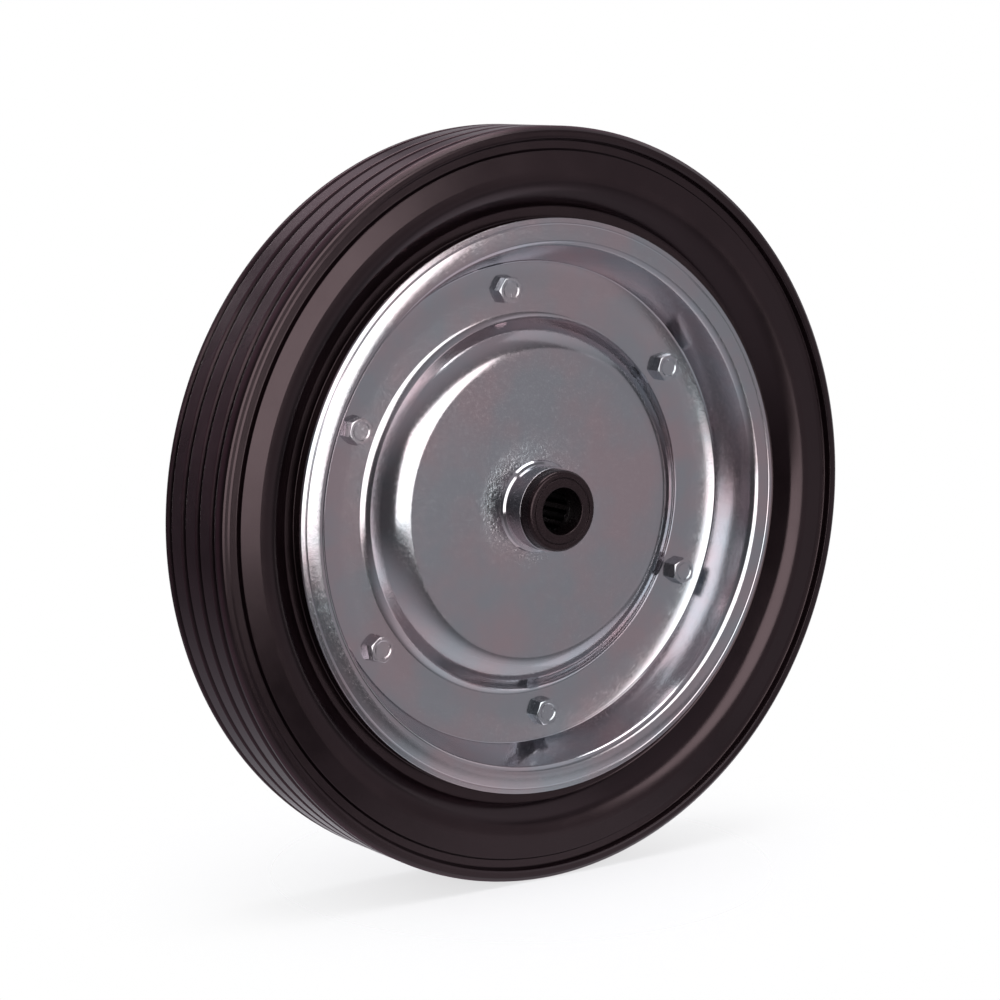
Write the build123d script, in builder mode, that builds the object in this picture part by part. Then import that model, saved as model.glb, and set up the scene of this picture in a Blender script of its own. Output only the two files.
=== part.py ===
from build123d import *
import math
import os

# Solid rubber trolley wheel on a bolted two-part pressed steel rim, with a roller bearing in its hub.
# The axle runs along Y through the origin at the wheel's centre, the bolt heads face -Y, and +Z is up.
# Profiles are drawn with X as the radius and Y along the axle. All sizes are in millimetres.

# Tyre
tyre_radius = 200.0
sidewall_height = 47.2
tyre_overhang = 1.0
shoulder_height = 6.5
shoulder_drop = 0.6
tread_groove_width = 4.6
tread_groove_floor = 1.6
tread_groove_depth = 3.2
ring_groove_width = 6.5
ring_groove_depth = 2.6
band_outer_inset = 1.4
band_height = 10.0
band_inner_inset = 0.3
slope_height = 8.5
slope_inset = 1.0
tuck_height = 5.7
tuck_inset = 3.7
lip_clearance = 1.2
seat_clearance = 0.1
base_chamfer = 2.4

# Pressed steel rim half
sheet = 3.0
rim_half_width = 27.8
flange_width = 13.8
wall_angle = 20.8
web_width = 29.2
dome_rise = 13.0
dome_side_angle = 49.0
mouth_inner_bend = 2.0
wall_root_bend = 2.0
dome_root_bend = 7.0
dome_shoulder_inner_bend = 17.5

# Bolts and nuts
bolt_count = 6
bolt_inset = 14.6
first_bolt_angle = 96.0
bolt_radius = 4.0
bolt_stick_out = 3.5
bolt_hole_clearance = 0.4
thread_clearance = 0.05
hex_across_flats = 13.0
head_height = 5.3
nut_height = 6.5
head_turns = (0.0, 12.0, 25.0, 8.0, 40.0, 18.0)

# Hub tube
hub_length = 75.0
tube_radius = 22.5
tube_wall = 3.5
tube_hole_clearance = 0.1
weld_leg = 2.5

# End caps
axle_radius = 12.5
axle_clearance = 0.05
cap_collar_length = 7.0
cap_step = 1.0
cap_edge_bend = 2.0
cap_spigot_length = 4.0
cap_spigot_clearance = 0.05
face_groove_inset = 4.0
face_groove_width = 1.2
face_groove_depth = 0.6

# Roller bearing
roller_count = 9
first_roller_angle = 16.0
roller_clearance = 0.05
pocket_clearance = 0.15
cage_radial_clearance = 0.4
cage_end_clearance = 0.3
cage_end_ring = 2.5

# Sizes worked out from the driving dimensions
tyre_half_width = rim_half_width + tyre_overhang
tread_groove_pitch = tyre_half_width / 2
lip_radius = tyre_radius - sidewall_height
web_face = sheet
wall_slope = math.tan(math.radians(wall_angle))
wall_mouth_radius = lip_radius - flange_width
wall_root_radius = wall_mouth_radius - wall_slope * (rim_half_width - web_face)
seat_offset = (sheet + seat_clearance) * math.hypot(1.0, wall_slope)
flange_back = rim_half_width - sheet - seat_clearance
dome_face = sheet + dome_rise
dome_root_radius = wall_root_radius - web_width
dome_shoulder_radius = dome_root_radius - dome_rise / math.tan(math.radians(dome_side_angle))
bolt_circle_radius = wall_root_radius - bolt_inset
bolt_length = 2 * sheet + nut_height + bolt_stick_out
tube_bore_radius = tube_radius - tube_wall
tube_length = hub_length - 2 * cap_collar_length
cap_radius = tube_radius - cap_step
cap_bore_radius = axle_radius + axle_clearance
cap_spigot_end = tube_length / 2 - cap_spigot_length
face_groove_radius = cap_radius - face_groove_inset
roller_radius = (tube_bore_radius - cap_bore_radius) / 2 - roller_clearance
roller_pitch_radius = (tube_bore_radius + cap_bore_radius) / 2
cage_half_length = cap_spigot_end - cage_end_clearance
pocket_half_length = cage_half_length - cage_end_ring
roller_half_length = pocket_half_length - pocket_clearance


def seat_radius(axial):
    """Radius of the tyre's conical seat at a distance from the wheel's middle plane."""
    return wall_root_radius + wall_slope * (axial - web_face) + seat_offset


def on_circle(radius, degrees):
    """Point at an angle on a circle about the axle."""
    angle = math.radians(degrees)
    return (radius * math.cos(angle), radius * math.sin(angle))


# Tyre: one solid rubber ring with a ribbed tread, and a ring groove and a raised band on each side
tread_points = [(tyre_radius, 0.0)]
for centre in (tread_groove_pitch / 2, tread_groove_pitch * 3 / 2):
    tread_points += [
        (tyre_radius, -centre + tread_groove_width / 2),
        (tyre_radius - tread_groove_depth, -centre + tread_groove_floor / 2),
        (tyre_radius - tread_groove_depth, -centre - tread_groove_floor / 2),
        (tyre_radius, -centre - tread_groove_width / 2),
    ]
groove_outer = tyre_radius - shoulder_height
band_outer = groove_outer - ring_groove_width
band_inner = band_outer - band_height
side_points = [
    (tyre_radius, -tyre_half_width + shoulder_drop),
    (groove_outer, -tyre_half_width),
    (groove_outer - ring_groove_width / 2, -tyre_half_width + ring_groove_depth),
    (band_outer, -tyre_half_width + band_outer_inset),
    (band_inner, -tyre_half_width + band_inner_inset),
    (band_inner - slope_height, -tyre_half_width + slope_inset),
    (lip_radius + tuck_height, -tyre_half_width + tuck_inset),
    (lip_radius + lip_clearance, -flange_back),
    (seat_radius(flange_back) + base_chamfer, -flange_back),
    (seat_radius(flange_back - base_chamfer), -flange_back + base_chamfer),
    (seat_radius(0.0), 0.0),
]
with BuildPart() as tyre:
    with BuildSketch(Plane.XY):
        with BuildLine():
            Polyline(*tread_points, *side_points)
            mirror(about=Plane.XZ)
        make_face()
    revolve(axis=Axis.Y)
tyre.part.label = "tyre"

# Rim halves: one pressing, used front and rear, with a flange, a recess wall, a bolting web and a dome
rim_line = [
    (lip_radius, -rim_half_width),
    (wall_mouth_radius, -rim_half_width),
    (wall_root_radius, -web_face),
    (dome_root_radius, -web_face),
    (dome_shoulder_radius, -dome_face),
    (tube_radius + tube_hole_clearance, -dome_face),
]
rim_bends = [mouth_inner_bend + sheet, wall_root_bend, dome_root_bend, dome_shoulder_inner_bend + sheet]
with BuildPart() as front_rim_half:
    with BuildSketch(Plane.XY):
        with BuildLine():
            FilletPolyline(*rim_line, radius=rim_bends)
            offset(amount=sheet, side=Side.RIGHT)
        make_face()
    revolve(axis=Axis.Y)
    with BuildSketch(Plane.XZ):
        with PolarLocations(bolt_circle_radius, bolt_count, start_angle=first_bolt_angle):
            Circle(bolt_radius + bolt_hole_clearance)
    extrude(amount=2 * sheet, mode=Mode.SUBTRACT)
front_rim_half.part.label = "front_rim_half"

with BuildPart() as rear_rim_half:
    add(front_rim_half.part)
    mirror(about=Plane.XZ, mode=Mode.REPLACE)
rear_rim_half.part.label = "rear_rim_half"

# Hub tube: welded into the two domes, and its bore is the outer race of the bearing
with BuildPart() as hub_tube:
    with BuildSketch(Plane.XY):
        with BuildLine():
            Polyline(
                (tube_bore_radius, 0.0),
                (tube_bore_radius, -tube_length / 2),
                (tube_radius, -tube_length / 2),
                (tube_radius, -dome_face - weld_leg),
                (tube_radius + weld_leg, -dome_face),
                (tube_radius, -dome_face),
                (tube_radius, 0.0),
            )
            mirror(about=Plane.XZ)
        make_face()
    revolve(axis=Axis.Y)
hub_tube.part.label = "hub_tube"

# End caps: moulded plastic bushes that close the tube, keep the cage in and centre the axle
with BuildPart() as front_end_cap:
    with BuildSketch(Plane.XY):
        with BuildLine():
            Polyline(
                (cap_bore_radius, -cap_spigot_end),
                (tube_bore_radius - cap_spigot_clearance, -cap_spigot_end),
                (tube_bore_radius - cap_spigot_clearance, -tube_length / 2),
                (cap_radius, -tube_length / 2),
                (cap_radius, -hub_length / 2),
                (face_groove_radius + face_groove_width / 2, -hub_length / 2),
                (face_groove_radius, -hub_length / 2 + face_groove_depth),
                (face_groove_radius - face_groove_width / 2, -hub_length / 2),
                (cap_bore_radius, -hub_length / 2),
                close=True,
            )
        make_face()
    revolve(axis=Axis.Y)
    outer_face_edges = front_end_cap.edges().filter_by(GeomType.CIRCLE).group_by(Axis.Y)[0]
    fillet(outer_face_edges.sort_by(SortBy.RADIUS)[-1], radius=cap_edge_bend)
front_end_cap.part.label = "front_end_cap"

with BuildPart() as rear_end_cap:
    add(front_end_cap.part)
    mirror(about=Plane.XZ, mode=Mode.REPLACE)
rear_end_cap.part.label = "rear_end_cap"

# Roller cage: a plastic sleeve with an open pocket for each roller and a ring at each end
with BuildPart() as roller_cage:
    with BuildSketch(Plane.XZ):
        Circle(tube_bore_radius - cage_radial_clearance)
        Circle(cap_bore_radius + cage_radial_clearance, mode=Mode.SUBTRACT)
    extrude(amount=cage_half_length, both=True)
    with BuildSketch(Plane.XZ):
        with PolarLocations(roller_pitch_radius, roller_count, start_angle=first_roller_angle):
            Rectangle(
                tube_bore_radius - cap_bore_radius,
                2 * (roller_radius + pocket_clearance),
            )
    extrude(amount=pocket_half_length, both=True, mode=Mode.SUBTRACT)
roller_cage.part.label = "roller_cage"

pieces = [tyre, front_rim_half, rear_rim_half, hub_tube, front_end_cap, rear_end_cap, roller_cage]

# Rollers: hardened steel pins that roll between the tube and the axle
for i in range(roller_count):
    centre = on_circle(roller_pitch_radius, first_roller_angle + i * 360 / roller_count)
    with BuildPart() as roller:
        with BuildSketch(Plane.XZ):
            with Locations(centre):
                Circle(roller_radius)
        extrude(amount=roller_half_length, both=True)
    roller.part.label = f"roller_{i + 1}"
    pieces.append(roller)

# Bolts and nuts: hexagon bolts from the front through both webs, with a nut behind each
for i in range(bolt_count):
    centre = on_circle(bolt_circle_radius, first_bolt_angle - i * 360 / bolt_count)
    head_turn = head_turns[i % len(head_turns)]
    with BuildPart() as bolt:
        with BuildSketch(Plane.XZ.offset(web_face)):
            with Locations(centre):
                RegularPolygon(hex_across_flats / 2, 6, major_radius=False, rotation=head_turn)
        extrude(amount=head_height)
        with BuildSketch(Plane.XZ.offset(web_face)):
            with Locations(centre):
                Circle(bolt_radius)
        extrude(amount=-bolt_length)
    bolt.part.label = f"bolt_{i + 1}"
    pieces.append(bolt)
    with BuildPart() as nut:
        with BuildSketch(Plane.XZ.offset(-web_face)):
            with Locations(centre):
                RegularPolygon(hex_across_flats / 2, 6, major_radius=False, rotation=-head_turn)
                Circle(bolt_radius + thread_clearance, mode=Mode.SUBTRACT)
        extrude(amount=-nut_height)
    nut.part.label = f"nut_{i + 1}"
    pieces.append(nut)

os.makedirs("parts", exist_ok=True)
for piece in pieces:
    export_step(piece.part, f"parts/{piece.part.label}.step")
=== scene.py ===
"""Looks of a solid trolley wheel: rubber tyre, pressed zinc rim, hexagon bolts and a roller hub."""
import math

import bmesh
import bpy
from bpy.props import FloatProperty, FloatVectorProperty, PointerProperty
from bpy.types import Operator, Panel, PropertyGroup
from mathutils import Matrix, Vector


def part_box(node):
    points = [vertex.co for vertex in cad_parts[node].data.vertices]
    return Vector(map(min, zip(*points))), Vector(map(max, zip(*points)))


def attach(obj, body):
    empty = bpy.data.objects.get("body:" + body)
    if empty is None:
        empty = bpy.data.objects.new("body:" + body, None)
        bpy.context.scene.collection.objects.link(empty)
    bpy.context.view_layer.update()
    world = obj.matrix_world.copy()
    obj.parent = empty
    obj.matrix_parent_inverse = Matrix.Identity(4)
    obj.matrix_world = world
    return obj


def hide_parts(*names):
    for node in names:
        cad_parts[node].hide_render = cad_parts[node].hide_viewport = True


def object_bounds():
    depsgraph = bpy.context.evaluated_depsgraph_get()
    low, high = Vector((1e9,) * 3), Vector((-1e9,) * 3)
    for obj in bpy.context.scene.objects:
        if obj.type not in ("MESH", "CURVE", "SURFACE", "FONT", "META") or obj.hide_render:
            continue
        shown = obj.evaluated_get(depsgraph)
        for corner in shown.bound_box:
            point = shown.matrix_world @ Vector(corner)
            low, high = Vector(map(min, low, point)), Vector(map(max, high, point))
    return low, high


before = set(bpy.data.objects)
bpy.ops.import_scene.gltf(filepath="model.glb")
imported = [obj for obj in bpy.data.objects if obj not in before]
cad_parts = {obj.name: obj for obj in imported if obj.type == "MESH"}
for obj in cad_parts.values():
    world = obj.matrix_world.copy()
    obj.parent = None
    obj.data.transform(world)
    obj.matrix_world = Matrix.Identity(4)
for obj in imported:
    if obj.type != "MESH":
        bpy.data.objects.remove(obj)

bl_info = {
    "name": "Solid Trolley Wheel",
    "version": (1, 0, 0),
    "blender": (4, 5, 0),
    "location": "3D View > Sidebar > Wheel",
    "description": "Models the tyre, pressed rim, bolts and roller hub of a solid trolley wheel",
    "category": "Add Mesh",
}

MM = 0.001
MERGE_DISTANCE = 0.002 * MM
SMOOTH_ANGLE = math.radians(32)
ALONG_AXLE = (math.pi / 2, 0, 0)

# Steps round each turned shape
TYRE_STEPS = 300
RIM_STEPS = 384
HUB_STEPS = 192
HEAD_STEPS = 96
SHANK_STEPS = 48
HOLE_STEPS = 32
ROLLER_STEPS = 32

# Longest step along a rounded corner, in degrees and in millimetres
ARC_DEGREES = 9
ARC_LENGTH = 2

# Faces of the front rim half in millimetres from the middle plane, which other pieces meet
WEB_FACE = 3.0
DOME_FACE = 16.0

# Play between a piece and the hole that it fills, and how far a helper shape goes past a face
FIT_CLEARANCE = 0.05
OVERLAP = 1.0

# Lengths of the drills for the bolt holes and the nuts, each longer than what it goes through
WEB_DRILL = 20.0
NUT_DRILL = 40.0

# Slope of the turned chamfers, and degrees from a hexagon's corner to the middle of its flat
HEX_CHAMFER = math.radians(30)
CORNER_TO_FLAT = 30

# Degrees by which each bolt head was left turned when it was tightened
HEAD_TURNS = (0.0, 12.0, 25.0, 8.0, 40.0, 18.0)

# Range in which nearly all values of a noise pattern lie
NOISE_LOW, NOISE_HIGH = 0.3, 0.7

# Roughness that the weld's heat adds beside the hub, and how much higher the grain stands for it
HEAT_ROUGHNESS = 0.06
HEAT_RELIEF = 200.0

# Radii in millimetres between which dust on the tread goes from none to full
DUST_START, DUST_END = 198.2, 199.8

# Boxes read from the frame, in metres
cad_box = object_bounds()
tyre_low, tyre_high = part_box("tyre")
rim_low, rim_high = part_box("front_rim_half")
cap_low, cap_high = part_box("front_end_cap")
bolt_low, bolt_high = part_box("bolt_1")
nut_low, nut_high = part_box("nut_1")
roller_low, roller_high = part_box("roller_1")
bolt_count = sum(1 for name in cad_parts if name.startswith("bolt_"))
roller_count = sum(
    1 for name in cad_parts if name.startswith("roller_") and name != "roller_cage")


def ring_radius(low, high):
    """Outside radius of a round piece in millimetres, from the corners of its box."""
    return min(high.x, high.z, -low.x, -low.z) / MM


def length(label, about, value):
    """A length property, with its default in millimetres."""
    return FloatProperty(
        name=label, description=about, default=value * MM, unit="LENGTH", precision=5)


def from_hex(code):
    """Linear red, green, blue and alpha of an sRGB colour such as #808080."""
    channels = [int(code[i:i + 2], 16) / 255 for i in (1, 3, 5)]
    return [c / 12.92 if c <= 0.04045 else ((c + 0.055) / 1.055) ** 2.4 for c in channels] + [1.0]


def colour(label, about, code):
    """A colour property, with its default as an sRGB hex code."""
    return FloatVectorProperty(
        name=label, description=about, default=from_hex(code),
        subtype="COLOR", size=4, min=0.0, max=1.0)


class TyreSettings(PropertyGroup):
    """Sizes of the rubber tyre."""
    radius: length(
        "Radius", "Outside radius of the tread", ring_radius(tyre_low, tyre_high))
    half_width: length(
        "Half width", "From the middle plane to the side of the tyre", tyre_high.y / MM)
    groove_pitch: length("Groove pitch", "Distance between the grooves of the tread", 14.4)
    groove_width: length("Groove width", "Width of a tread groove at its top", 4.6)
    groove_floor: length("Groove floor", "Width of a tread groove at its floor", 1.6)
    groove_depth: length("Groove depth", "Depth of a tread groove", 3.2)
    shoulder_height: length("Shoulder height", "Height of the shoulder above the ring groove", 6.5)
    ring_groove_width: length("Ring groove width", "Width of the groove on the side", 6.5)
    ring_groove_depth: length("Ring groove depth", "Depth of the groove on the side", 3.6)
    band_height: length("Band height", "Height of the smooth band inside the ring groove", 10.0)


class RimSettings(PropertyGroup):
    """Sizes of the two pressed rim halves."""
    sheet: length("Sheet", "Thickness of the steel sheet", 3.0)
    lip_radius: length(
        "Lip radius", "Outside radius of the flange", ring_radius(rim_low, rim_high))
    half_width: length(
        "Half width", "From the middle plane to the face of the flange", -rim_low.y / MM)
    mouth_radius: length(
        "Mouth radius", "Radius where the flange turns into the recess wall", 139.0)
    root_radius: length("Root radius", "Radius where the recess wall meets the web", 129.58)
    web_face: length("Web face", "From the middle plane to the face of the web", WEB_FACE)
    dome_root: length("Dome root", "Radius where the dome rises from the web", 100.38)
    dome_shoulder: length("Dome shoulder", "Radius where the dome turns flat", 89.08)
    dome_face: length("Dome face", "From the middle plane to the face of the dome", DOME_FACE)
    hole_radius: length("Hub hole", "Radius of the hole for the hub tube", 22.6)
    bolt_hole: length("Bolt hole", "Radius of the holes for the bolts", 4.4)


class HubSettings(PropertyGroup):
    """Sizes of the hub tube, end caps and rollers."""
    tube_radius: length("Tube radius", "Outside radius of the hub tube", 22.5)
    tube_bore: length("Tube bore", "Inside radius of the hub tube", 19.0)
    tube_half: length("Tube half length", "From the middle plane to the end of the tube", 30.5)
    weld_leg: length("Weld leg", "Size of the weld between tube and dome", 2.5)
    cap_radius: length("Cap radius", "Outside radius of the end caps", cap_high.x / MM)
    cap_bore: length("Cap bore", "Radius of the bore for the axle", 12.55)
    cap_face: length(
        "Cap face", "From the middle plane to the face of the end cap", -cap_low.y / MM)
    spigot_end: length(
        "Spigot end", "From the middle plane to the inner end of the cap", -cap_high.y / MM)
    groove_radius: length(
        "Face groove radius", "Radius of the fine groove in the cap's face", 17.5)


class BoltSettings(PropertyGroup):
    """Sizes of the hexagon bolts and nuts."""
    across_flats: length("Across flats", "Width of the hexagons across their flats", 13.0)
    shank: length("Shank", "Radius of the bolt", 4.0)


class FinishSettings(PropertyGroup):
    """Colours of the materials."""
    zinc_cool: colour("Zinc, cool", "Blue-grey areas of the zinc plate", "#BFC3C8")
    zinc_warm: colour("Zinc, warm", "Pinkish areas of the zinc plate", "#CDBFC3")
    rubber: colour("Rubber", "Black rubber of the tyre", "#10080B")
    skin: colour("Skin", "Brown cast in the shine of rubber and plastic", "#FFDDE3")
    plastic: colour("Plastic", "Dark plastic of the end caps", "#170F11")
    # The bearing steel's dark colour is painted shade, standing in for the shade inside the hub's
    # bore.
    steel: colour("Bearing steel", "Ground steel of the rollers, dark with oil", "#3A3638")
    floor: colour("Floor", "Pale floor", "#F4F4F7")


GROUPS = {
    "wheel_tyre": TyreSettings,
    "wheel_rim": RimSettings,
    "wheel_hub": HubSettings,
    "wheel_bolts": BoltSettings,
    "wheel_finish": FinishSettings,
}


# Modelling helpers
def clear_selection():
    """Leaves edit mode and deselects everything."""
    if bpy.context.mode != "OBJECT":
        bpy.ops.object.mode_set(mode="OBJECT")
    bpy.ops.object.select_all(action="DESELECT")


def pick(piece):
    """Selects one object alone and makes it active."""
    clear_selection()
    piece.select_set(True)
    bpy.context.view_layer.objects.active = piece


def select_vertices(piece, wanted):
    """Selects the vertices of the edited mesh whose place passes a test."""
    mesh = bmesh.from_edit_mesh(piece.data)
    for vertex in mesh.verts:
        vertex.select_set(bool(wanted(vertex.co)))
    mesh.select_flush_mode()
    bmesh.update_edit_mesh(piece.data)


def round_corner(piece, before, corner, after, bend):
    """Turns a corner of the drawn outline into an arc with a radius in millimetres."""
    turn = (corner - before).angle(after - corner)
    segments = max(2, round(math.degrees(turn) / ARC_DEGREES), round(bend * turn / ARC_LENGTH))
    select_vertices(piece, lambda place: (place - corner).length < MERGE_DISTANCE)
    bpy.ops.mesh.bevel(
        offset=bend * MM * math.tan(turn / 2), segments=segments, affect="VERTICES")


def draw_outline(name, corners, closed):
    """Draws an outline in edit mode from (radius, axial, bend) corners in millimetres."""
    clear_selection()
    bpy.ops.mesh.primitive_plane_add(size=MM)
    piece = bpy.context.object
    piece.name = piece.data.name = name
    bpy.ops.object.mode_set(mode="EDIT")
    bpy.ops.mesh.select_mode(type="VERT")
    bpy.ops.mesh.select_all(action="SELECT")
    bpy.ops.mesh.merge(type="CENTER")
    places = [Vector((radius, axial, 0.0)) * MM for radius, axial, _ in corners]
    bpy.ops.transform.translate(value=places[0])
    for here, there in zip(places, places[1:]):
        bpy.ops.mesh.extrude_vertices_move(TRANSFORM_OT_translate={"value": there - here})
    if closed:
        first, last = places[0], places[-1]
        select_vertices(piece, lambda place: min(
            (place - first).length, (place - last).length) < MERGE_DISTANCE)
        bpy.ops.mesh.edge_face_add()
    for i, (_, _, bend) in enumerate(corners):
        if bend > 0:
            after = places[(i + 1) % len(places)]
            round_corner(piece, places[i - 1], places[i], after, bend)
    return piece


def recalculate(piece):
    """Merges doubles, which closes seams and poles, and turns the faces outwards."""
    pick(piece)
    bpy.ops.object.mode_set(mode="EDIT")
    bpy.ops.mesh.select_all(action="SELECT")
    bpy.ops.mesh.remove_doubles(threshold=MERGE_DISTANCE)
    bpy.ops.mesh.normals_make_consistent(inside=False)
    bpy.ops.object.mode_set(mode="OBJECT")


def lathe(name, corners, steps, closed=True):
    """A turned piece: an outline of (radius, axial, bend) corners, spun once round the axle."""
    piece = draw_outline(name, corners, closed)
    bpy.ops.mesh.select_all(action="SELECT")
    bpy.ops.mesh.spin(steps=steps, angle=math.tau, center=(0, 0, 0), axis=(0, 1, 0))
    recalculate(piece)
    return piece


def lathe_both_sides(name, corners, steps):
    """A turned piece from the outline of its front half, mirrored for the rear half."""
    piece = lathe(name, corners, steps, closed=False)
    apply_modifier(
        piece, "MIRROR", use_axis=(False, True, False), merge_threshold=MERGE_DISTANCE)
    recalculate(piece)
    return piece


def apply_modifier(piece, kind, **settings):
    """Adds a modifier to an object and applies it."""
    pick(piece)
    modifier = piece.modifiers.new(kind.lower(), kind)
    for key, value in settings.items():
        setattr(modifier, key, value)
    bpy.ops.object.modifier_apply(modifier=modifier.name)


def remove(piece):
    """Deletes a helper object."""
    pick(piece)
    bpy.ops.object.delete()


def combine(piece, helper, operation):
    """Cuts, joins or trims a piece with a helper shape, which is then deleted."""
    apply_modifier(piece, "BOOLEAN", object=helper, operation=operation, solver="EXACT")
    remove(helper)


def add_bar(sides, radius, depth, place):
    """A plain bar along the axle, as a drill or as the start of a hexagon."""
    clear_selection()
    bpy.ops.mesh.primitive_cylinder_add(
        vertices=sides, radius=radius, depth=depth, location=place, rotation=ALONG_AXLE)
    bpy.ops.object.transform_apply(location=True, rotation=True, scale=True)
    return bpy.context.object


def copy_of(piece, name):
    """A copy of an object, with its own mesh."""
    pick(piece)
    bpy.ops.object.duplicate(linked=False)
    twin = bpy.context.object
    twin.name = twin.data.name = name
    return twin


def settle(piece, place=(0, 0, 0), turn=0.0):
    """Turns a piece about its own axial line, puts it in place and moves both into its mesh."""
    pick(piece)
    piece.rotation_euler = (0.0, turn, 0.0)
    piece.location = place
    bpy.ops.object.transform_apply(location=True, rotation=True, scale=True)


def rear_twin(piece, name):
    """A copy of a front piece, mirrored to the rear side of the wheel."""
    twin = copy_of(piece, name)
    twin.scale = (1, -1, 1)
    settle(twin)
    recalculate(twin)
    return twin


def node_centre(node):
    """Middle of a CAD node's box."""
    low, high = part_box(node)
    return (low + high) / 2


def finish_piece(piece, material, body, nodes):
    """Shades a piece, gives it its material and tells the frame what it stands for."""
    pick(piece)
    bpy.ops.object.shade_smooth_by_angle(angle=SMOOTH_ANGLE)
    apply_modifier(piece, "WEIGHTED_NORMAL", keep_sharp=True)
    piece.data.materials.clear()
    piece.data.materials.append(material)
    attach(piece, body)
    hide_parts(*nodes)


# Materials
def add_node(tree, kind, sockets=None, **settings):
    """Adds a node with its settings, and sets each socket to a value or links it to an output."""
    node = tree.nodes.new(kind)
    for key, value in settings.items():
        setattr(node, key, value)
    for key, value in (sockets or {}).items():
        if isinstance(value, bpy.types.NodeSocket):
            tree.links.new(value, node.inputs[key])
        else:
            node.inputs[key].default_value = value
    return node


def new_material(name):
    """An empty node material and its node tree."""
    material = bpy.data.materials.new(name)
    material.use_nodes = True
    material.node_tree.nodes.clear()
    return material, material.node_tree


def distance_from_axle(tree, place):
    """The output that gives each point's distance from the axle, in metres."""
    across = add_node(
        tree, "ShaderNodeVectorMath", {0: place, 1: (1.0, 0.0, 1.0)}, operation="MULTIPLY")
    radius = add_node(
        tree, "ShaderNodeVectorMath", {0: across.outputs["Vector"]}, operation="LENGTH")
    return radius.outputs["Value"]


def bright_zinc(name, finish, roughness, heat_radius=0.0, grit=0.05):
    """Bright zinc plate on pressed steel: a clear metal shine in cool and faintly pink patches,
    with grain, dull specks and a slight waviness. Within the heat radius of the axle the weld's
    heat and spatter left it dull and grainy. Real grain is too fine to show, so it is drawn
    1.4 mm across, and grit is its height in millimetres."""
    material, tree = new_material(name)
    place = add_node(tree, "ShaderNodeTexCoord").outputs["Object"]
    patches = add_node(tree, "ShaderNodeTexNoise", {
        "Vector": place, "Scale": 1 / (45 * MM), "Detail": 3.0, "Roughness": 0.55})
    tint = add_node(tree, "ShaderNodeMapRange", {
        "Value": patches.outputs["Fac"], "From Min": 0.38, "From Max": 0.62})
    base = add_node(tree, "ShaderNodeMix", {
        "Factor": tint.outputs["Result"], "A": finish.zinc_cool, "B": finish.zinc_warm},
        data_type="RGBA")
    grain = add_node(tree, "ShaderNodeTexNoise", {
        "Vector": place, "Scale": 1 / (1.4 * MM), "Detail": 2.0, "Roughness": 0.6})
    gloss = add_node(tree, "ShaderNodeMapRange", {
        "Value": grain.outputs["Fac"], "From Min": NOISE_LOW, "From Max": NOISE_HIGH,
        "To Min": roughness - 0.03, "To Max": roughness + 0.03})
    specks = add_node(tree, "ShaderNodeMapRange", {
        "Value": grain.outputs["Fac"], "From Min": 0.6, "From Max": 0.75, "To Max": 0.06})
    heat = add_node(tree, "ShaderNodeMapRange", {
        "Value": distance_from_axle(tree, place),
        "From Min": heat_radius, "From Max": heat_radius * 0.6, "To Max": HEAT_ROUGHNESS})
    spatter = add_node(tree, "ShaderNodeMapRange", {
        "Value": grain.outputs["Fac"], "From Min": 0.4, "From Max": 0.65,
        "To Min": 0.5, "To Max": 1.0})
    dull = add_node(tree, "ShaderNodeMath", {
        0: heat.outputs["Result"], 1: spatter.outputs["Result"], 2: specks.outputs["Result"]},
        operation="MULTIPLY_ADD")
    gloss = add_node(tree, "ShaderNodeMath", {
        0: gloss.outputs["Result"], 1: dull.outputs["Value"]})
    waviness = add_node(tree, "ShaderNodeTexNoise", {
        "Vector": place, "Scale": 1 / (22 * MM), "Detail": 1.0, "Roughness": 0.4})
    waves = add_node(tree, "ShaderNodeBump", {
        "Height": waviness.outputs["Fac"], "Strength": 0.3, "Distance": 0.12 * MM})
    relief = add_node(tree, "ShaderNodeMath", {
        0: heat.outputs["Result"], 1: HEAT_RELIEF, 2: 1.0}, operation="MULTIPLY_ADD")
    grains = add_node(tree, "ShaderNodeMath", {
        0: grain.outputs["Fac"], 1: relief.outputs["Value"]}, operation="MULTIPLY")
    bumps = add_node(tree, "ShaderNodeBump", {
        "Height": grains.outputs["Value"], "Strength": 0.2, "Distance": grit * MM,
        "Normal": waves.outputs["Normal"]})
    shader = add_node(tree, "ShaderNodeBsdfPrincipled", {
        "Base Color": base.outputs["Result"], "Metallic": 1.0,
        "Roughness": gloss.outputs["Value"], "Normal": bumps.outputs["Normal"]})
    add_node(tree, "ShaderNodeOutputMaterial", {"Surface": shader.outputs["BSDF"]})
    return material


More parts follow.
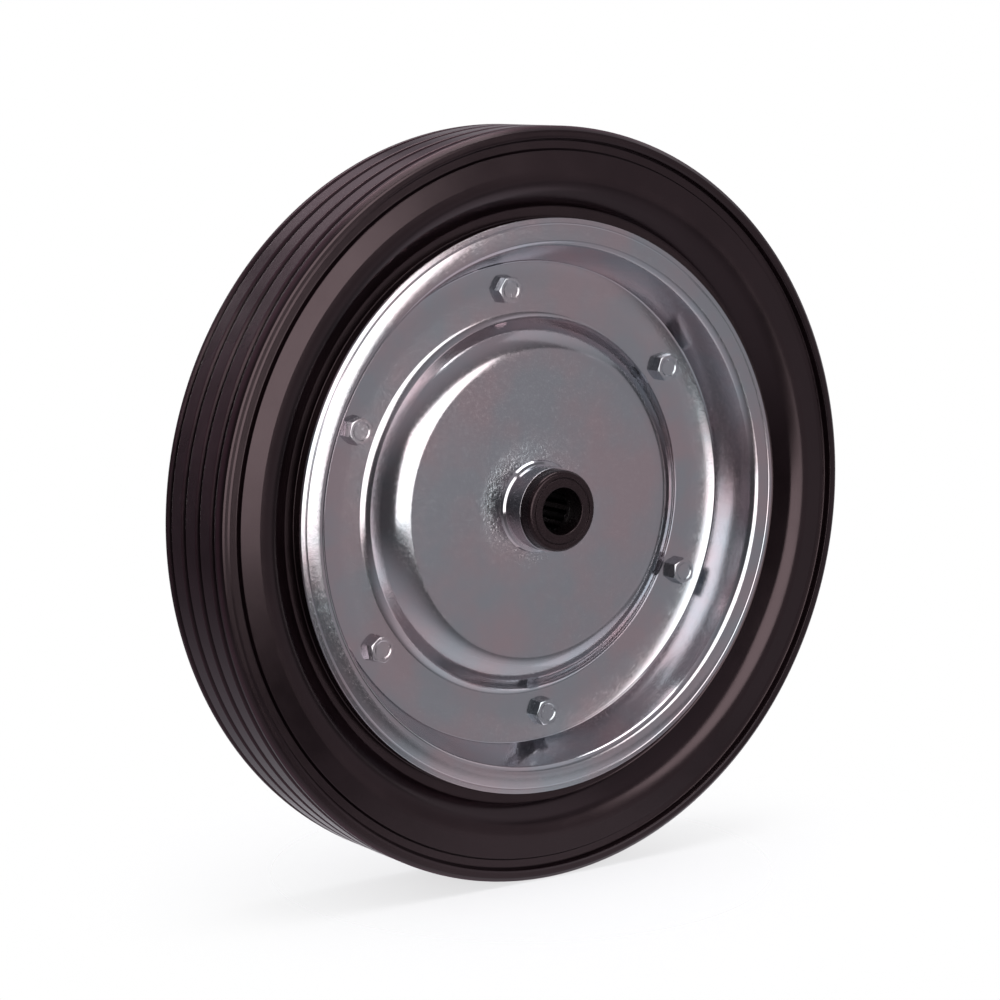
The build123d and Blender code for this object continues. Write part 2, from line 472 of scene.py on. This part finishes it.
def black_rubber(name, finish):
    """Moulded black rubber: nearly black with a brown cast, a soft sheen that varies where the
    rubber has bloomed, an uneven skin and a dusty tread. The real skin is too fine to show, so
    it is drawn 1.2 mm across."""
    material, tree = new_material(name)
    place = add_node(tree, "ShaderNodeTexCoord").outputs["Object"]
    bloom = add_node(tree, "ShaderNodeTexNoise", {
        "Vector": place, "Scale": 1 / (35 * MM), "Detail": 4.0, "Roughness": 0.6})
    dust = add_node(tree, "ShaderNodeMapRange", {
        "Value": distance_from_axle(tree, place),
        "From Min": DUST_START * MM, "From Max": DUST_END * MM, "To Max": 9.0})
    shade = add_node(tree, "ShaderNodeMapRange", {
        "Value": bloom.outputs["Fac"], "From Min": NOISE_LOW, "From Max": NOISE_HIGH,
        "To Min": 0.75, "To Max": 1.3})
    dusty = add_node(tree, "ShaderNodeMath", {
        0: shade.outputs["Result"], 1: dust.outputs["Result"], 2: shade.outputs["Result"]},
        operation="MULTIPLY_ADD")
    base = add_node(tree, "ShaderNodeVectorMath", {
        0: finish.rubber[:3], "Scale": dusty.outputs["Value"]}, operation="SCALE")
    skin = add_node(tree, "ShaderNodeTexNoise", {
        "Vector": place, "Scale": 1 / (1.2 * MM), "Detail": 3.0, "Roughness": 0.6})
    gloss = add_node(tree, "ShaderNodeMapRange", {
        "Value": bloom.outputs["Fac"], "From Min": NOISE_LOW, "From Max": NOISE_HIGH,
        "To Min": 0.17, "To Max": 0.24})
    bumps = add_node(tree, "ShaderNodeBump", {
        "Height": skin.outputs["Fac"], "Strength": 0.25, "Distance": 0.03 * MM})
    shader = add_node(tree, "ShaderNodeBsdfPrincipled", {
        "Base Color": base.outputs["Vector"], "Roughness": gloss.outputs["Result"], "IOR": 1.6,
        "Specular Tint": finish.skin, "Normal": bumps.outputs["Normal"]})
    add_node(tree, "ShaderNodeOutputMaterial", {"Surface": shader.outputs["BSDF"]})
    return material


def moulded_plastic(name, finish):
    """Moulded dark nylon: a satin black with a faint grain and slightly paler worn patches. The
    real grain is too fine to show, so it is drawn 0.6 mm across."""
    material, tree = new_material(name)
    place = add_node(tree, "ShaderNodeTexCoord").outputs["Object"]
    patches = add_node(tree, "ShaderNodeTexNoise", {
        "Vector": place, "Scale": 1 / (8 * MM), "Detail": 3.0, "Roughness": 0.55})
    shade = add_node(tree, "ShaderNodeMapRange", {
        "Value": patches.outputs["Fac"], "From Min": NOISE_LOW, "From Max": NOISE_HIGH,
        "To Min": 0.7, "To Max": 1.5})
    base = add_node(tree, "ShaderNodeVectorMath", {
        0: finish.plastic[:3], "Scale": shade.outputs["Result"]}, operation="SCALE")
    grain = add_node(tree, "ShaderNodeTexNoise", {
        "Vector": place, "Scale": 1 / (0.6 * MM), "Detail": 2.0, "Roughness": 0.5})
    gloss = add_node(tree, "ShaderNodeMapRange", {
        "Value": grain.outputs["Fac"], "From Min": NOISE_LOW, "From Max": NOISE_HIGH,
        "To Min": 0.2, "To Max": 0.3})
    bumps = add_node(tree, "ShaderNodeBump", {
        "Height": grain.outputs["Fac"], "Strength": 0.3, "Distance": 0.03 * MM})
    shader = add_node(tree, "ShaderNodeBsdfPrincipled", {
        "Base Color": base.outputs["Vector"], "Roughness": gloss.outputs["Result"], "IOR": 1.5,
        "Specular Tint": finish.skin, "Normal": bumps.outputs["Normal"]})
    add_node(tree, "ShaderNodeOutputMaterial", {"Surface": shader.outputs["BSDF"]})
    return material


def ground_steel(name, finish):
    """Ground bearing steel with a smooth shine and rings round the roller from the grinding wheel,
    in a colour darkened as painted shade for the inside of the hub's bore. Real rings are too
    fine to show, so they are drawn 1/3 mm wide."""
    material, tree = new_material(name)
    place = add_node(tree, "ShaderNodeTexCoord").outputs["Object"]
    stretched = add_node(tree, "ShaderNodeMapping", {
        "Vector": place, "Scale": (1.0, 12.0, 1.0)})
    rings = add_node(tree, "ShaderNodeTexNoise", {
        "Vector": stretched.outputs["Vector"], "Scale": 1 / (4 * MM),
        "Detail": 3.0, "Roughness": 0.6})
    gloss = add_node(tree, "ShaderNodeMapRange", {
        "Value": rings.outputs["Fac"], "From Min": NOISE_LOW, "From Max": NOISE_HIGH,
        "To Min": 0.14, "To Max": 0.26})
    bumps = add_node(tree, "ShaderNodeBump", {
        "Height": rings.outputs["Fac"], "Strength": 0.15, "Distance": 0.02 * MM})
    # Painted shade: the steel's base colour is darkened to stand in for the shade inside the bore.
    shader = add_node(tree, "ShaderNodeBsdfPrincipled", {
        "Base Color": finish.steel, "Metallic": 1.0, "Roughness": gloss.outputs["Result"],
        "Normal": bumps.outputs["Normal"]})
    add_node(tree, "ShaderNodeOutputMaterial", {"Surface": shader.outputs["BSDF"]})
    return material


# Outlines, as (radius, axial, bend) corners in millimetres
def tyre_outline(sizes):
    """Front half of the tyre's section, from the tread's middle to the seat's middle."""
    radius, side = sizes.radius / MM, sizes.half_width / MM
    depth = sizes.groove_depth / MM
    top, floor = sizes.groove_width / MM / 2, sizes.groove_floor / MM / 2
    corners = [(radius, 0.0, 0.0)]
    for centre in (sizes.groove_pitch / MM / 2, sizes.groove_pitch / MM * 3 / 2):
        corners += [
            (radius, top - centre, 0.6),
            (radius - depth, floor - centre, 0.5),
            (radius - depth, -floor - centre, 0.5),
            (radius, -top - centre, 0.6),
        ]
    groove_outer = radius - sizes.shoulder_height / MM
    groove_inner = groove_outer - sizes.ring_groove_width / MM
    band_inner = groove_inner - sizes.band_height / MM
    groove_floor = sizes.ring_groove_depth / MM - side
    corners += [
        # Shoulder, with a fine line moulded round it
        (radius, 3.0 - side, 0.9),
        (groove_outer + 4.2, 0.95 - side, 0.4),
        (groove_outer + 3.1, 0.75 - side, 0.3),
        (groove_outer + 1.4, 0.75 - side, 0.3),
        (groove_outer + 0.2, 0.35 - side, 0.3),
        # Ring groove and the band inside it
        (groove_outer - 1.1, groove_floor, 0.6),
        (groove_inner + 1.3, groove_floor, 0.6),
        (groove_inner + 0.2, 1.4 - side, 0.4),
        (band_inner, 0.3 - side, 2.5),
        # Slope to the lip of rubber that curves in towards the flange
        (band_inner - 7.4, 0.35 - side, 15.0),
        (158.4, 9.1 - side, 2.0),
        (152.6, 9.2 - side, 0.8),
        # Back of the flange and the conical seat
        (149.5, -24.7, 0.6),
        (143.5, -24.7, 1.0),
        (141.0, -22.3, 1.0),
        (131.74, 0.0, 0.0),
    ]
    return corners


def rim_outline(sizes):
    """Visible face of a rim half, from the lip to the hole for the hub tube."""
    lip, face = sizes.lip_radius / MM, -sizes.half_width / MM
    root, web = sizes.root_radius / MM, -sizes.web_face / MM
    dome = -sizes.dome_face / MM
    return [
        # Rounded lip and the flange, with a fine line pressed round it
        (lip, face + 1.9, 0.0),
        (lip - 0.4, face + 1.3, 0.4),
        (lip - 2.6, face + 1.05, 0.3),
        (lip - 3.1, face + 1.2, 0.2),
        (lip - 3.7, face + 0.9, 0.3),
        (lip - 7.0, face + 0.3, 26.0),
        # Recess wall, down to the bolting web
        (sizes.mouth_radius / MM, face, 4.6),
        (root - 0.3, web - 1.7, 1.4),
        (root - 9.5, web, 80.0),
        # Dome, which rises slightly at the hub
        (sizes.dome_root / MM, web, 7.0),
        (sizes.dome_shoulder / MM, dome, 20.5),
        (sizes.hole_radius * 1.65 / MM, dome, 90.0),
        (sizes.hole_radius / MM, dome - 0.5, 0.0),
    ]


def tube_outline(sizes):
    """Half section of the hub tube with the weld bead at the dome."""
    bore, outer, end = sizes.tube_bore / MM, sizes.tube_radius / MM, -sizes.tube_half / MM
    leg, dome = sizes.weld_leg / MM, -DOME_FACE
    return [
        (bore, 0.0, 0.0),
        (bore, end, 0.3),
        (outer, end, 0.3),
        (outer, dome - leg * 0.85, 0.3),
        (outer + leg * 0.62, dome - leg * 0.6, 0.5),
        (outer + leg, dome - 0.4, 0.1),
        (outer, dome, 0.0),
        (outer, 0.0, 0.0),
    ]


def cap_outline(sizes):
    """Section of an end cap: collar, rounded edge, face groove, bore and spigot."""
    outer, bore = sizes.cap_radius / MM, sizes.cap_bore / MM
    face, tube_end = -sizes.cap_face / MM, -sizes.tube_half / MM
    inner_end = -sizes.spigot_end / MM
    spigot, groove = sizes.tube_bore / MM - FIT_CLEARANCE, sizes.groove_radius / MM
    notch = 0.6
    return [
        (bore, inner_end, 0.3),
        (spigot, inner_end, 0.3),
        (spigot, tube_end, 0.0),
        (outer, tube_end, 0.3),
        (outer, face, 2.0),
        (groove + notch, face, 0.15),
        (groove, face + notch, 0.2),
        (groove - notch, face, 0.15),
        (bore, face, 0.6),
    ]


# Operators, one for each piece or group of like pieces
class WHEEL_OT_tyre(Operator):
    """Model the rubber tyre"""
    bl_idname = "trolley_wheel.tyre"
    bl_label = "Tyre"

    def execute(self, context):
        sizes, finish = context.scene.wheel_tyre, context.scene.wheel_finish
        tyre = lathe_both_sides("rubber_tyre", tyre_outline(sizes), TYRE_STEPS)
        rubber = black_rubber("moulded_black_rubber", finish)
        finish_piece(tyre, rubber, "wheel", ["tyre"])
        return {"FINISHED"}


class WHEEL_OT_rims(Operator):
    """Model the two pressed rim halves"""
    bl_idname = "trolley_wheel.rims"
    bl_label = "Rim halves"

    def execute(self, context):
        sizes, finish = context.scene.wheel_rim, context.scene.wheel_finish
        front = lathe("front_rim_pressing", rim_outline(sizes), RIM_STEPS, closed=False)
        face_forwards(front)
        apply_modifier(
            front, "SOLIDIFY", thickness=sizes.sheet, offset=-1.0, use_even_offset=True)
        for i in range(bolt_count):
            centre = node_centre(f"bolt_{i + 1}")
            drill = add_bar(HOLE_STEPS, sizes.bolt_hole, WEB_DRILL * MM, (centre.x, 0, centre.z))
            combine(front, drill, "DIFFERENCE")
        rear = rear_twin(front, "rear_rim_pressing")
        zinc = bright_zinc(
            "bright_zinc_on_pressed_steel", finish, 0.15, heat_radius=sizes.hole_radius * 2)
        finish_piece(front, zinc, "wheel", ["front_rim_half"])
        finish_piece(rear, zinc, "wheel", ["rear_rim_half"])
        return {"FINISHED"}


def face_forwards(piece):
    """Turns the faces of the open pressing towards its visible side."""
    web = max(piece.data.polygons, key=lambda face: face.area)
    if web.normal.y > 0:
        pick(piece)
        bpy.ops.object.mode_set(mode="EDIT")
        bpy.ops.mesh.select_all(action="SELECT")
        bpy.ops.mesh.flip_normals()
        bpy.ops.object.mode_set(mode="OBJECT")


class WHEEL_OT_hub(Operator):
    """Model the hub tube and its two end caps"""
    bl_idname = "trolley_wheel.hub"
    bl_label = "Hub tube and end caps"

    def execute(self, context):
        sizes, finish = context.scene.wheel_hub, context.scene.wheel_finish
        tube = lathe_both_sides("welded_hub_tube", tube_outline(sizes), HUB_STEPS)
        zinc = bright_zinc("bright_zinc_on_tube", finish, 0.09, grit=0.002)
        finish_piece(tube, zinc, "wheel", ["hub_tube"])
        nylon = moulded_plastic("moulded_black_nylon", finish)
        front = lathe("front_hub_bush", cap_outline(sizes), HUB_STEPS)
        rear = rear_twin(front, "rear_hub_bush")
        finish_piece(front, nylon, "wheel", ["front_end_cap"])
        finish_piece(rear, nylon, "wheel", ["rear_end_cap"])
        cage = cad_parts["roller_cage"]
        cage.data.materials.clear()
        cage.data.materials.append(nylon)
        return {"FINISHED"}


class WHEEL_OT_rollers(Operator):
    """Model the bearing rollers"""
    bl_idname = "trolley_wheel.rollers"
    bl_label = "Rollers"

    def execute(self, context):
        radius = (roller_high.x - roller_low.x) / 2 / MM
        half = roller_high.y / MM
        steel = ground_steel("bearing_steel_darkened_for_painted_shade", context.scene.wheel_finish)
        outline = [(0.0, -half, 0.0), (radius, -half, 0.5), (radius, half, 0.5), (0.0, half, 0.0)]
        first = lathe("bearing_roller", outline, ROLLER_STEPS, closed=False)
        for i in range(roller_count):
            node = f"roller_{i + 1}"
            roller = copy_of(first, f"bearing_roller_{i + 1}")
            settle(roller, node_centre(node))
            finish_piece(roller, steel, node, [node])
        remove(first)
        return {"FINISHED"}


def hexagon(name, across_flats, near, far, chamfer_far=False, dish=0.0):
    """A hexagon bar between two axial places in millimetres. Its near end is chamfered and may
    be dished, and its far end may be chamfered too."""
    corner = across_flats / 2 / math.cos(math.pi / 6)
    bar = add_bar(6, corner * MM, (far - near) * MM, (0, (near + far) / 2 * MM, 0))
    bar.name = bar.data.name = name
    # The outline reaches past the corners, and its flat end is a little smaller than the flats
    reach = corner * 1.05
    top = across_flats / 2 * 0.96
    drop = (reach - top) * math.tan(HEX_CHAMFER)
    outline = [(0.0, near + dish, 0.0)]
    if dish > 0:
        outline += [(top - 2.0, near + dish, 0.2), (top - 1.3, near, 0.2)]
    outline += [(top, near, 0.0), (reach, near + drop, 0.0)]
    if chamfer_far:
        outline += [(reach, far - drop, 0.0), (top, far, 0.0), (0.0, far, 0.0)]
    else:
        outline += [(reach, far + OVERLAP, 0.0), (0.0, far + OVERLAP, 0.0)]
    combine(bar, lathe("turned_chamfer", outline, HEAD_STEPS, closed=False), "INTERSECT")
    return bar


class WHEEL_OT_bolts(Operator):
    """Model the hexagon bolts and their nuts"""
    bl_idname = "trolley_wheel.bolts"
    bl_label = "Bolts and nuts"

    def execute(self, context):
        sizes, finish = context.scene.wheel_bolts, context.scene.wheel_finish
        flats, shank = sizes.across_flats / MM, sizes.shank / MM
        zinc = bright_zinc("bright_zinc_on_bolts", finish, 0.2, grit=0.06)
        bolt_end, root = bolt_high.y / MM, -WEB_FACE - OVERLAP
        head = hexagon("bolt_head", flats, bolt_low.y / MM, -WEB_FACE, dish=0.3)
        outline = [(0.0, root, 0.0), (shank, root, 0.0), (shank, bolt_end, 0.6),
                   (0.0, bolt_end, 0.0)]
        combine(head, lathe("bolt_shank", outline, SHANK_STEPS, closed=False), "UNION")
        nut = hexagon("nut_body", flats, nut_low.y / MM, nut_high.y / MM, chamfer_far=True)
        drill = add_bar(SHANK_STEPS, (shank + FIT_CLEARANCE) * MM, NUT_DRILL * MM, (0, 0, 0))
        combine(nut, drill, "DIFFERENCE")
        recalculate(head)
        recalculate(nut)
        for i, turn in enumerate(HEAD_TURNS):
            place = node_centre(f"bolt_{i + 1}")
            place.y = 0.0
            bolt = copy_of(head, f"hex_bolt_{i + 1}")
            settle(bolt, place, math.radians(CORNER_TO_FLAT - turn))
            finish_piece(bolt, zinc, "wheel", [f"bolt_{i + 1}"])
            hex_nut = copy_of(nut, f"hex_nut_{i + 1}")
            settle(hex_nut, place, math.radians(CORNER_TO_FLAT + turn))
            finish_piece(hex_nut, zinc, "wheel", [f"nut_{i + 1}"])
        remove(head)
        remove(nut)
        return {"FINISHED"}


# Stage: the camera stands as the photograph's did, in degrees, metres and millimetres of lens
CAMERA_AZIMUTH = -35.344
CAMERA_ELEVATION = 8.658
CAMERA_DISTANCE = 1.51693
CAMERA_LENS = 102.346
CAMERA_SENSOR = 36.0
CAMERA_SHIFT = (-0.021045, 0.002662)

# Metres: the floor's size, and where it starts and ends fading into the white background
FLOOR_RADIUS = 1.6
FLOOR_FADE = (0.05, 0.34)
FLOOR_STEPS = 96
ROOM_COLOUR = "#ECEAF3"

# Each light's name, its span of azimuth and of elevation in degrees, its radiance and its colour
LIGHT_DISTANCE = 4.0
LIGHTS = (
    ("front_softbox", (-19, 26), (-10.5, 22), 2.55, "#FFFFFF"),
    ("grey_reflector", (29, 68), (-22, 18), 0.265, "#F6EEF5"),
    ("side_softbox", (82, 98), (-10, 40), 0.45, "#FFFFFF"),
    ("ceiling_reflector", (50, 118), (19, 60), 0.22, "#F4F4FA"),
    ("floor_reflector", (54, 88), (-46, -27), 0.35, "#F1F0FA"),
    ("rear_reflector", (112, 163), (-34, 20), 0.31, "#F6EEF5"),
    ("rear_softbox", (167, 193), (-8, 24), 2.6, "#FFFFFF"),
    ("back_softbox", (160, 184), (28, 42), 0.35, "#FFEAF2"),
    ("top_softbox", (0, 40), (70, 100), 4.0, "#FFFFFF"),
)


def around(azimuth, elevation, distance):
    """A point seen from the wheel's centre, with azimuth 0 in front, growing to the right."""
    turn, lift = math.radians(azimuth), math.radians(elevation)
    flat = distance * math.cos(lift)
    return Vector((flat * math.sin(turn), -flat * math.cos(turn), distance * math.sin(lift)))


def add_softbox(name, azimuths, elevations, radiance, tint):
    """A rectangular area light that faces the wheel's centre and fills its two spans."""
    width, height = (2 * LIGHT_DISTANCE * math.tan(math.radians(high - low) / 2)
                     for low, high in (azimuths, elevations))
    lamp = bpy.data.lights.new(name, "AREA")
    lamp.shape = "RECTANGLE"
    lamp.size, lamp.size_y = width, height
    lamp.energy = radiance * math.pi * width * height
    lamp.color = from_hex(tint)[:3]
    box = bpy.data.objects.new(name, lamp)
    bpy.context.collection.objects.link(box)
    box.location = around(sum(azimuths) / 2, sum(elevations) / 2, LIGHT_DISTANCE)
    box.rotation_euler = box.location.to_track_quat("Z", "Y").to_euler()
    box.visible_camera = False


class WHEEL_OT_stage(Operator):
    """Set up the floor, lights, background and camera"""
    bl_idname = "trolley_wheel.stage"
    bl_label = "Stage"

    def execute(self, context):
        self.add_floor(context.scene.wheel_finish)
        for light in LIGHTS:
            add_softbox(*light)
        self.add_background()
        self.add_camera()
        context.scene.view_settings.view_transform = "Standard"
        return {"FINISHED"}

    def add_floor(self, finish):
        """A pale round floor that fades out, with its soft shadow, before its edge."""
        clear_selection()
        bpy.ops.mesh.primitive_circle_add(
            vertices=FLOOR_STEPS, radius=FLOOR_RADIUS, fill_type="NGON",
            location=(0, 0, cad_box[0].z))
        floor = bpy.context.object
        floor.name = floor.data.name = "studio_floor"
        bpy.ops.object.transform_apply(location=True, rotation=True, scale=True)
        material, tree = new_material("pale_studio_floor")
        place = add_node(tree, "ShaderNodeTexCoord").outputs["Object"]
        reach = add_node(tree, "ShaderNodeVectorMath", {0: place}, operation="LENGTH")
        fade = add_node(tree, "ShaderNodeMapRange", {
            "Value": reach.outputs["Value"], "From Min": FLOOR_FADE[0], "From Max": FLOOR_FADE[1]},
            interpolation_type="SMOOTHSTEP")
        paper = add_node(tree, "ShaderNodeBsdfPrincipled", {
            "Base Color": finish.floor, "Roughness": 0.8,
            "Emission Color": finish.floor, "Emission Strength": 0.38})
        clear = add_node(tree, "ShaderNodeBsdfTransparent")
        mix = add_node(tree, "ShaderNodeMixShader", {
            0: fade.outputs["Result"], 1: paper.outputs["BSDF"], 2: clear.outputs["BSDF"]})
        add_node(tree, "ShaderNodeOutputMaterial", {"Surface": mix.outputs["Shader"]})
        floor.data.materials.append(material)

    def add_background(self):
        """White for the camera, and a dim room that is brighter above and below the wheel."""
        world = bpy.data.worlds.new("studio")
        bpy.context.scene.world = world
        world.use_nodes = True
        tree = world.node_tree
        tree.nodes.clear()
        path = add_node(tree, "ShaderNodeLightPath")
        direction = add_node(tree, "ShaderNodeTexCoord").outputs["Generated"]
        height = add_node(tree, "ShaderNodeSeparateXYZ", {"Vector": direction}).outputs["Z"]
        low = add_node(tree, "ShaderNodeMapRange", {
            "Value": height, "From Min": -0.2, "From Max": -0.7, "To Min": 0.08, "To Max": 0.4},
            interpolation_type="SMOOTHSTEP")
        high = add_node(tree, "ShaderNodeMapRange", {
            "Value": height, "From Min": 0.1, "From Max": 0.85, "To Min": 0.0, "To Max": 0.28},
            interpolation_type="SMOOTHSTEP")
        glow = add_node(tree, "ShaderNodeMath", {
            0: low.outputs["Result"], 1: high.outputs["Result"]})
        room = add_node(tree, "ShaderNodeBackground", {
            "Color": from_hex(ROOM_COLOUR), "Strength": glow.outputs["Value"]})
        backdrop = add_node(tree, "ShaderNodeBackground", {
            "Color": (1, 1, 1, 1), "Strength": 1.0})
        mix = add_node(tree, "ShaderNodeMixShader", {
            0: path.outputs["Is Camera Ray"], 1: room.outputs["Background"],
            2: backdrop.outputs["Background"]})
        add_node(tree, "ShaderNodeOutputWorld", {"Surface": mix.outputs["Shader"]})

    def add_camera(self):
        """The camera, which looks at the wheel's centre."""
        lens = bpy.data.cameras.new("studio_camera")
        lens.lens = CAMERA_LENS
        lens.sensor_width = CAMERA_SENSOR
        lens.shift_x, lens.shift_y = CAMERA_SHIFT
        camera = bpy.data.objects.new("studio_camera", lens)
        bpy.context.collection.objects.link(camera)
        camera.location = around(CAMERA_AZIMUTH, CAMERA_ELEVATION, CAMERA_DISTANCE)
        camera.rotation_euler = (-camera.location).to_track_quat("-Z", "Y").to_euler()
        bpy.context.scene.camera = camera


class WHEEL_PT_panel(Panel):
    """Lists the pieces of the wheel and their sizes"""
    bl_idname = "WHEEL_PT_panel"
    bl_label = "Solid Trolley Wheel"
    bl_space_type = "VIEW_3D"
    bl_region_type = "UI"
    bl_category = "Wheel"

    def draw(self, context):
        for step in STEPS:
            self.layout.operator(step.bl_idname)
        for name, group in GROUPS.items():
            box = self.layout.box()
            box.label(text=group.__doc__)
            for key in group.__annotations__:
                box.prop(getattr(context.scene, name), key)


STEPS = (
    WHEEL_OT_tyre, WHEEL_OT_rims, WHEEL_OT_hub, WHEEL_OT_rollers, WHEEL_OT_bolts, WHEEL_OT_stage)
CLASSES = (*GROUPS.values(), *STEPS, WHEEL_PT_panel)


def register():
    for item in CLASSES:
        bpy.utils.register_class(item)
    for name, group in GROUPS.items():
        setattr(bpy.types.Scene, name, PointerProperty(type=group))


def unregister():
    for name in GROUPS:
        delattr(bpy.types.Scene, name)
    for item in reversed(CLASSES):
        bpy.utils.unregister_class(item)


def main():
    register()
    bpy.ops.trolley_wheel.tyre()
    bpy.ops.trolley_wheel.rims()
    bpy.ops.trolley_wheel.hub()
    bpy.ops.trolley_wheel.rollers()
    bpy.ops.trolley_wheel.bolts()
    bpy.ops.trolley_wheel.stage()
    clear_selection()


if __name__ == "__main__":
    main()
